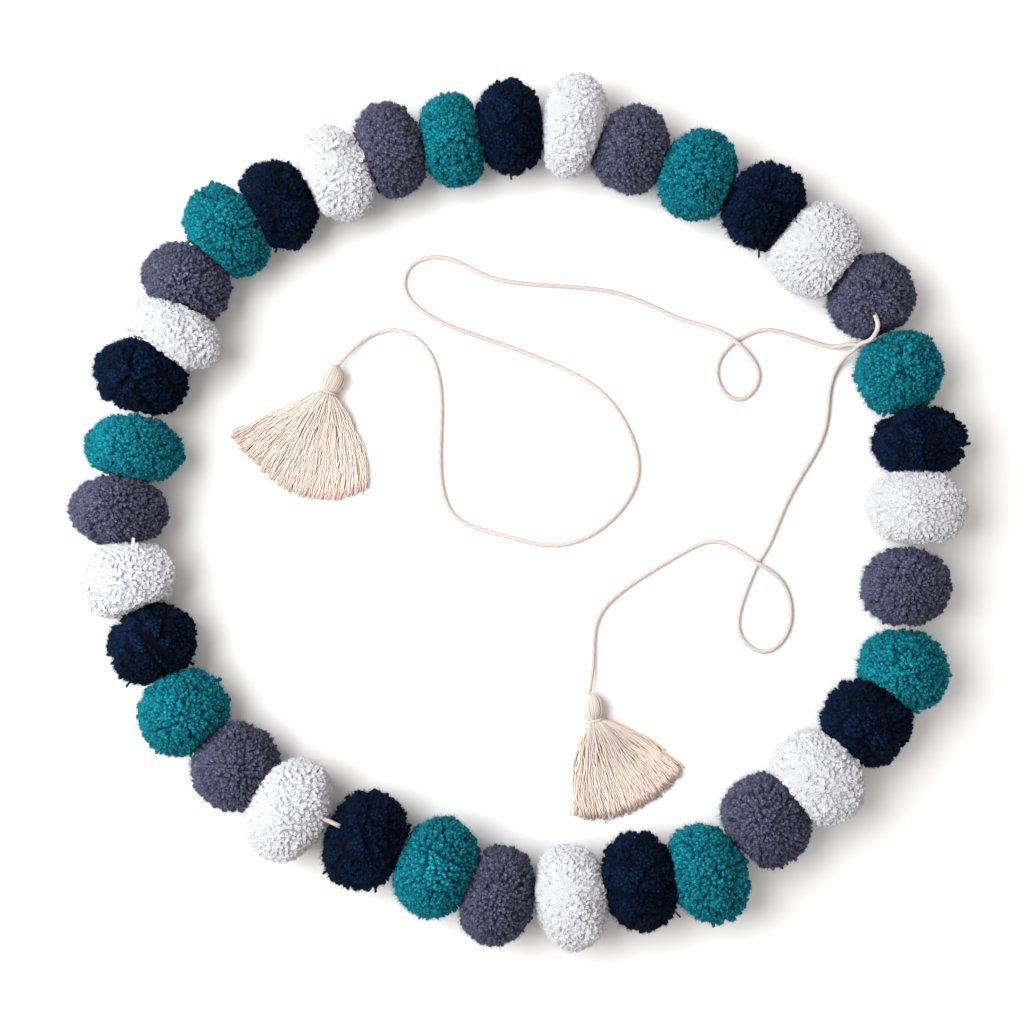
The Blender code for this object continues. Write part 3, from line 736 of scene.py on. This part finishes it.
def pompom_shell(number, ball, coat):
    dice = np.random.default_rng(number)
    tufts = grown_tufts(number, ball, coat, dice)
    shells = [
        core_shell(ball, coat),
        tuft_shell(ball, coat, tufts.roots, tufts.tips, tufts.widths, tufts.shades, dice),
        stray_shell(number, ball, coat, tufts.tips, dice),
        loose_fibres(ball, coat, tufts, dice),
    ]
    return joined(shells)


# Cords and threads


def natural_curve(points, steps):
    """Many points on the natural cubic curve through the given ones."""
    spans = np.sqrt(np.linalg.norm(np.diff(points, axis=0), axis=1))
    count = len(points)
    system = np.eye(count)
    slopes = np.zeros_like(points)
    for k in range(1, count - 1):
        system[k, k - 1 : k + 2] = spans[k - 1], 2 * (spans[k - 1] + spans[k]), spans[k]
        rise = (points[k + 1] - points[k]) / spans[k] - (points[k] - points[k - 1]) / spans[k - 1]
        slopes[k] = 6 * rise
    bends = np.linalg.solve(system, slopes)
    curve = []
    for k, span in enumerate(spans):
        for step in range(steps):
            b = step / steps
            a = 1 - b
            pull = ((a**3 - a) * bends[k] + (b**3 - b) * bends[k + 1]) * span**2 / 6
            curve.append(a * points[k] + b * points[k + 1] + pull)
    curve.append(points[-1])
    return np.array(curve)


def even_route(route, step):
    """Points an even step apart on the smooth curve through a route, and its length."""
    curve = natural_curve(in_metres(route), SMOOTH_STEPS)
    curve[:, 2] = np.maximum(curve[:, 2], CORD_RADIUS)
    lengths = np.concatenate(([0.0], np.cumsum(np.linalg.norm(np.diff(curve, axis=0), axis=1))))
    wanted = np.linspace(0.0, lengths[-1], round(lengths[-1] / step) + 1)
    return np.stack([np.interp(wanted, lengths, curve[:, axis]) for axis in range(3)], axis=1), lengths[-1]


def tube_faces(rings, sides):
    faces = [
        (ring * sides + k, ring * sides + (k + 1) % sides,
         (ring + 1) * sides + (k + 1) % sides, (ring + 1) * sides + k)
        for ring in range(rings - 1)
        for k in range(sides)
    ]
    last = (rings - 1) * sides
    return faces + [tuple(range(sides))[::-1], tuple(range(last, last + sides))]


def ring_directions(centres, sides):
    """Directions round each point of a line, square to it."""
    along = unit(np.gradient(centres, axis=0))
    side = unit(np.cross(along, UP + OFF_VERTICAL))
    top = np.cross(side, along)
    angles = np.arange(sides) * TURN / sides
    return np.cos(angles)[:, None] * side[:, None] + np.sin(angles)[:, None] * top[:, None], angles


def twisted_shell(centres, step):
    """A cord of plies laid round each other. Depth is 0 in the grooves and 1 on the plies, and the grooves
    are painted darker by it, a painted shade.
    """
    outward, angles = ring_directions(centres, CORD_SIDES)
    travelled = np.arange(len(centres)) * step
    lay = np.cos(CORD_PLIES * angles[None] - TURN * travelled[:, None] / CORD_PITCH)
    radii = CORD_RADIUS * (1 - CORD_GROOVE / 2 + CORD_GROOVE / 2 * lay)
    points = centres[:, None] + outward * radii[..., None]
    depth = (0.5 + 0.5 * lay).reshape(-1)
    tint = np.repeat(0.5 + 0.5 * np.sin(travelled / CORD_SHADE_LENGTH), CORD_SIDES)
    return Shell(points.reshape(-1, 3), tube_faces(len(centres), CORD_SIDES), depth, tint)


def thread_shell(centres, radii, depth, tint):
    """One smooth thread, round in section."""
    outward, _ = ring_directions(centres, THREAD_SIDES)
    points = centres[:, None] + outward * radii[:, None, None]
    points[..., 2] = np.maximum(points[..., 2], FLOOR_CLEARANCE)
    return Shell(
        points.reshape(-1, 3),
        tube_faces(len(centres), THREAD_SIDES),
        np.repeat(depth, THREAD_SIDES),
        np.full(len(centres) * THREAD_SIDES, tint),
    )


def threaded_route(balls):
    """The threaded cord's points through the pompoms, in mm."""
    route = [LONG_END[0]]
    for number, ball in enumerate(balls, 1):
        route += KNEES.get(number, [tuple(ball.middle / MM)])
        if number in SHOWN_BETWEEN:
            route.append(SHOWN_BETWEEN[number])
    return route + [SHORT_END[0]]


# Tassels


class TasselFrame:
    """One tassel's own directions: along it from head to hem, and across it, level."""

    def __init__(self, row):
        angle = math.radians(row.points)
        self.row = row
        self.along = np.array((math.cos(angle), math.sin(angle), 0.0))
        self.across = np.cross(UP, self.along)
        self.head = np.array((row.x * MM, row.y * MM, 0.0))

    def place(self, along, across, height):
        return (
            self.head
            + np.multiply.outer(along, self.along)
            + np.multiply.outer(across, self.across)
            + np.multiply.outer(height, UP)
        )


def hem_height(share, level):
    """How high a thread lies at the hem, which is a little more at the two sides of the fan."""
    beside = 1 - share * (1 - share) * 2
    return THREAD_RADIUS + level * (HEM_RISE + HEM_SIDE_RISE * beside)


def skirt_line(place, share, level, longest, dice):
    """The middle of one thread, from a round bundle at the neck to its place in the fan on the surface."""
    row = place.row
    neck = place.place(NECK_MIDDLE, 0.0, 0.0)
    t = np.linspace(0.0, 1.0, THREAD_POINTS)
    angle = math.radians(row.fan_from + (row.fan_to - row.fan_from) * share)
    reach = MM * np.interp(share, np.linspace(0, 1, len(row.reaches)), row.reaches)
    reach *= (1 + dice.normal(0.0, REACH_SPREAD)) * longest
    heading = np.array((math.cos(angle), math.sin(angle), 0.0))
    side = np.cross(UP, heading)
    spread = 2 * share - 1
    root = neck + spread * ROOT_HALF_WIDTH * place.across
    bulge = np.interp(share, (0, 1), row.bulges)
    control = root + CONTROL_SHARE * reach * unit(heading + bulge * spread * side)
    hem = neck + reach * heading + side * dice.normal(0.0, HEM_SPREAD)
    line = ((1 - t) ** 2)[:, None] * root + (2 * t * (1 - t))[:, None] * control + (t**2)[:, None] * hem
    waves = dice.uniform(*WAVES) * TURN
    sway = dice.uniform(*SWAYS) * MM
    line += side * (sway * np.sin(waves * t + dice.uniform(0, TURN)) * np.sqrt(t))[:, None]
    crimps = TURN * reach / CRIMP_LENGTH * dice.uniform(*CRIMP_RATES)
    line += side * (CRIMP * np.sin(crimps * t + dice.uniform(0, TURN)) * np.sqrt(t))[:, None]
    bundle = (NECK_RADIUS - THREAD_RADIUS) * math.sqrt(max(1 - spread**2, LEAST_BUNDLE))
    start = NECK_HEIGHT + (2 * level - 1) * bundle
    settle = np.clip(t * SETTLE_RATE, 0, 1)
    settle = settle * settle * (3 - 2 * settle)
    line[:, 2] = start + (hem_height(share, level) - start) * settle
    return line, t


def skirt_threads(place, dice):
    """Threads that leave the neck in a round bundle and fan out on the surface, over a bed of thick ones."""
    shells = []
    for number in range(THREADS + BED_STRANDS):
        in_bed = number >= THREADS
        if in_bed:
            share = (number - THREADS + 0.5) / BED_STRANDS
            level = 0.0
        else:
            share = min(max((number + dice.uniform(*THREAD_SHIFTS)) / THREADS, 0.0), 1.0)
            level = dice.uniform(0.0, 1.0)
        line, t = skirt_line(place, share, level, BED_REACH if in_bed else 1, dice)
        if in_bed:
            radius = BED_RADIUS * np.interp(t, *BED_TAPER)
        else:
            radius = THREAD_RADIUS * dice.uniform(*THREAD_RADII)
        # The low threads and the bed take the low tints, a warm tan painted lighter: painted bounce light in
        # the shade between threads
        tints = TOP_TINTS if level > TOP_LAYER else LOW_TINTS
        # Depth t along the thread paints it darker toward the neck, a painted shade, and gives the hem's tint
        # at the end
        shells.append(thread_shell(line, radius * np.interp(t, *THREAD_TAPER), t, dice.uniform(*tints)))
    return shells


def head_threads(place, dice):
    """Threads folded over the cord, from the crown of the head round to the neck."""
    polar = np.linspace(HEAD_FROM, HEAD_TO, HEAD_POINTS)
    shells = []
    for number in range(HEAD_THREADS):
        angle = TURN * (number + dice.uniform(-HEAD_SHIFT, HEAD_SHIFT)) / HEAD_THREADS
        swell = 1 - HEAD_THREAD_RADIUS / HEAD_RADIUS * dice.uniform(*HEAD_SINKS)
        radius = HEAD_RADIUS * swell * np.sin(polar)
        radius = np.maximum(radius, np.where(polar > HEAD_NECK, NECK_RADIUS - HEAD_THREAD_RADIUS, 0.0))
        along = -HEAD_HALF_LENGTH * np.cos(polar)
        along[0] -= CROWN_RISE
        height = np.interp(along, (-HEAD_HALF_LENGTH, NECK_MIDDLE), (HEAD_HEIGHT, NECK_HEIGHT))
        twist = angle + dice.normal(0.0, HEAD_TWIST_SPREAD) + HEAD_TWIST * (polar - polar[0])
        line = place.place(along, radius * np.cos(twist), height + radius * np.sin(twist))
        radii = HEAD_THREAD_RADIUS * np.interp(polar, *HEAD_TAPER)
        depth = np.full(len(polar), HEAD_DEPTH)
        shells.append(thread_shell(line, radii, depth, dice.uniform(*HEAD_TINTS)))
    return shells


def filling(place):
    """The folded threads inside the head and neck, which close the gaps between those that show."""
    polar = np.linspace(FILLING_FROM, FILLING_TO, HEAD_POINTS)
    heights = np.interp(polar, (0, FILLING_NECK), (HEAD_HEIGHT, NECK_HEIGHT))
    centres = place.place(-HEAD_HALF_LENGTH * np.cos(polar), np.zeros(HEAD_POINTS), heights)
    radii = np.maximum((HEAD_RADIUS - FILLING_INSET) * np.sin(polar), FILLING_LEAST)
    angles = np.arange(FILLING_SIDES) * TURN / FILLING_SIDES
    outward = np.cos(angles)[:, None] * place.across + np.sin(angles)[:, None] * UP
    points = (centres[:, None] + outward[None] * radii[:, None, None]).reshape(-1, 3)
    faces = tube_faces(HEAD_POINTS, FILLING_SIDES)
    # Depth 0 paints the filling with the cotton's painted shade
    return Shell(points, faces, np.zeros(len(points)), np.full(len(points), FILLING_TINT))


def tie_shell(place):
    """A few turns of thread round the neck."""
    steps = TIE_STEPS * TIE_TURNS
    angle = np.linspace(0.0, TURN * TIE_TURNS, steps)
    away = NECK_RADIUS + GAP + TIE_THREAD_RADIUS
    along = NECK_MIDDLE + TIE_PITCH * (angle / TURN - TIE_TURNS / 2)
    line = place.place(along, away * np.cos(angle), NECK_HEIGHT + away * np.sin(angle))
    return thread_shell(line, np.full(steps, TIE_THREAD_RADIUS), np.full(steps, TIE_DEPTH), TIE_TINT)


# Materials


def new_material(name, surface):
    material = bpy.data.materials.new(name)
    material.use_nodes = True
    shader = material.node_tree.nodes["Principled BSDF"]
    shader.inputs["Roughness"].default_value = surface.roughness
    shader.inputs["Specular IOR Level"].default_value = surface.specular
    return material, material.node_tree.nodes, material.node_tree.links, shader


def read_value(nodes, label):
    reader = nodes.new("ShaderNodeAttribute")
    reader.attribute_name = label
    return reader.outputs["Fac"]


def ramp(nodes, links, source, places, colours):
    """A colour that goes from the first to the second between two places of a value."""
    made = nodes.new("ShaderNodeValToRGB")
    for element, place, colour in zip(made.color_ramp.elements, places, colours):
        element.position = place
        element.color = (*colour, 1.0)
    links.new(source, made.inputs["Fac"])
    return made.outputs["Color"]


def grey_ramp(nodes, links, source, places, low, high):
    return ramp(nodes, links, source, places, ((low,) * 3, (high,) * 3))


def noise(nodes, links, surface):
    made = nodes.new("ShaderNodeTexNoise")
    made.inputs["Scale"].default_value = surface.scale
    made.inputs["Detail"].default_value = surface.detail
    place = nodes.new("ShaderNodeTexCoord")
    links.new(place.outputs["Object"], made.inputs["Vector"])
    return made.outputs["Fac"]


def shaded(nodes, links, colour, shade):
    """One colour times another."""
    mix = nodes.new("ShaderNodeMix")
    mix.data_type = "RGBA"
    mix.blend_type = "MULTIPLY"
    mix.inputs["Factor"].default_value = 1.0
    links.new(colour, mix.inputs["A"])
    links.new(shade, mix.inputs["B"])
    return mix.outputs["Result"]


def multiplied(nodes, links, colour, factor, low, high, spread=(0.0, 1.0)):
    """A colour made darker or lighter by a value, which runs from 0 to 1 or over the spread given."""
    return shaded(nodes, links, colour, grey_ramp(nodes, links, factor, spread, low, high))


def fibre_bump(nodes, links, shader, surface):
    """A fine grain in the surface, and its value for the colour."""
    grain = noise(nodes, links, surface)
    bump = nodes.new("ShaderNodeBump")
    bump.inputs["Strength"].default_value = surface.strength
    bump.inputs["Distance"].default_value = surface.height
    links.new(grain, bump.inputs["Height"])
    links.new(bump.outputs["Normal"], shader.inputs["Normal"])
    return grain


def yarn_material(name, yarn, finish):
    """Cut yarn: a painted shade deep between the tufts (a painted light for white), each tuft a shade of its
    own that holds painted shade and light too, with a soft sheen.
    """
    material, nodes, links, shader = new_material(f"{name}_cut_yarn", YARN_SURFACE)
    # Painted shade: the deep colour where depth is low, at roots, rims, fibre roots and the core (a painted
    # light for white)
    colour = ramp(nodes, links, read_value(nodes, "depth"), YARN_DEPTHS, (yarn.deep, yarn.tip))
    colour = multiplied(nodes, links, colour, read_value(nodes, "tint"), finish.tuft_low, finish.tuft_high)
    grain = fibre_bump(nodes, links, shader, YARN_SURFACE)
    colour = multiplied(nodes, links, colour, grain, finish.grain_low, finish.grain_high, GRAIN_SPREAD)
    links.new(colour, shader.inputs["Base Color"])
    shader.inputs["Sheen Weight"].default_value = finish.sheen
    shader.inputs["Sheen Roughness"].default_value = YARN_SURFACE.sheen_roughness
    shader.inputs["Sheen Tint"].default_value = (*yarn.fuzz, 1.0)
    return material


def cotton_material(name):
    """Cotton: each thread's own shade, a painted shade where depth is 0 (the cord's grooves, the threads'
    neck ends and the head's filling), and the hem's tint where it is 1.
    """
    cotton = COTTONS[name]
    material, nodes, links, shader = new_material(name, COTTON_SURFACE)
    colour = ramp(nodes, links, read_value(nodes, "tint"), (0.0, 1.0), (cotton.low, cotton.high))
    # Painted shade where depth is low
    colour = multiplied(nodes, links, colour, read_value(nodes, "depth"), cotton.groove, 1.0)
    hem = ramp(nodes, links, read_value(nodes, "depth"), HEM_DEPTHS, ((1.0, 1.0, 1.0), cotton.hem))
    colour = shaded(nodes, links, colour, hem)
    grain = fibre_bump(nodes, links, shader, COTTON_SURFACE)
    colour = multiplied(nodes, links, colour, grain, *COTTON_GRAIN)
    links.new(colour, shader.inputs["Base Color"])
    shader.inputs["Sheen Weight"].default_value = COTTON_SHEEN
    shader.inputs["Sheen Roughness"].default_value = COTTON_SURFACE.sheen_roughness
    return material


def floor_material():
    material, nodes, links, shader = new_material("floor_paper", FLOOR_SURFACE)
    grain = noise(nodes, links, FLOOR_SURFACE)
    links.new(grey_ramp(nodes, links, grain, FLOOR_SPREAD, *FLOOR_SHADES), shader.inputs["Base Color"])
    return material


# Camera, light and floor


def add_camera():
    lens = bpy.data.cameras.new("above")
    lens.sensor_width = SENSOR_WIDTH
    lens.lens = SENSOR_WIDTH * CAMERA_DISTANCE / VIEW_WIDTH
    lens.clip_end = CAMERA_CLIP_END
    camera = bpy.data.objects.new("above", lens)
    camera.location = (CAMERA_X, 0.0, VIEW_HEIGHT + CAMERA_DISTANCE)
    bpy.context.collection.objects.link(camera)
    bpy.context.scene.camera = camera


def add_lamp(row):
    light = bpy.data.lights.new(row.name, "AREA")
    light.size = row.size
    light.energy = row.power
    light.color = row.colour
    lamp = bpy.data.objects.new(row.name, light)
    lamp.location = row.place
    toward = -lamp.location.normalized()
    lamp.rotation_euler = toward.to_track_quat("-Z", "Y").to_euler()
    bpy.context.collection.objects.link(lamp)


def add_light():
    world = bpy.data.worlds.new("studio")
    world.use_nodes = True
    world.node_tree.nodes["Background"].inputs["Color"].default_value = WORLD_COLOUR
    world.node_tree.nodes["Background"].inputs["Strength"].default_value = WORLD_STRENGTH
    bpy.context.scene.world = world
    bpy.context.scene.view_settings.view_transform = "Standard"
    add_lamp(KEY_LAMP)


def add_floor():
    half = FLOOR_HALF_WIDTH
    mesh = bpy.data.meshes.new("floor")
    corners = [(-half, -half, 0), (half, -half, 0), (half, half, 0), (-half, half, 0)]
    mesh.from_pydata(corners, [], [(0, 1, 2, 3)])
    mesh.materials.append(floor_material())
    floor = bpy.data.objects.new("floor", mesh)
    bpy.context.collection.objects.link(floor)


def add_cords(balls):
    cotton = cotton_material("twisted_cotton")
    for name, route in (("long", LONG_END), ("short", SHORT_END)):
        centres, length = even_route(route, CORD_STEP)
        shell = twisted_shell(centres, CORD_STEP)
        piece = add_piece(f"{name}_end_twist", shell, cotton, "cotton_cord", f"{name}_cord_end")
    centres, _ = even_route(threaded_route(balls), THREADED_STEP)
    add_piece("threaded_twist", twisted_shell(centres, THREADED_STEP), cotton, "cotton_cord", "threaded_cord")


def add_pompoms(balls):
    materials = {name: yarn_material(name, YARNS[name], FINISHES[name]) for name in COLOURS}
    for number, ball in enumerate(balls, 1):
        colour = COLOURS[(number - 1) % len(COLOURS)]
        name = f"pompom_{number:02d}_{colour}"
        shell = pompom_shell(number, ball, COATS[colour])
        add_piece(f"{name}_tufts", shell, materials[colour], f"{colour}_yarn", name)


def add_tassels():
    cotton = cotton_material("tassel_thread")
    pale = cotton_material("tie_thread_look")
    for seed, row in enumerate(TASSELS, TASSEL_SEED):
        dice = np.random.default_rng(seed)
        place = TasselFrame(row)
        threads = [filling(place)] + head_threads(place, dice) + skirt_threads(place, dice)
        add_piece(f"{row.name}_threads", joined(threads), cotton, "tassel_cotton", f"{row.name}_tassel")
        add_piece(f"{row.name}_binding", tie_shell(place), pale, "tie_thread", f"{row.name}_tie")


def main():
    balls = place_balls()
    add_camera()
    add_cords(balls)
    add_pompoms(balls)
    add_tassels()
    add_light()
    add_floor()


main()
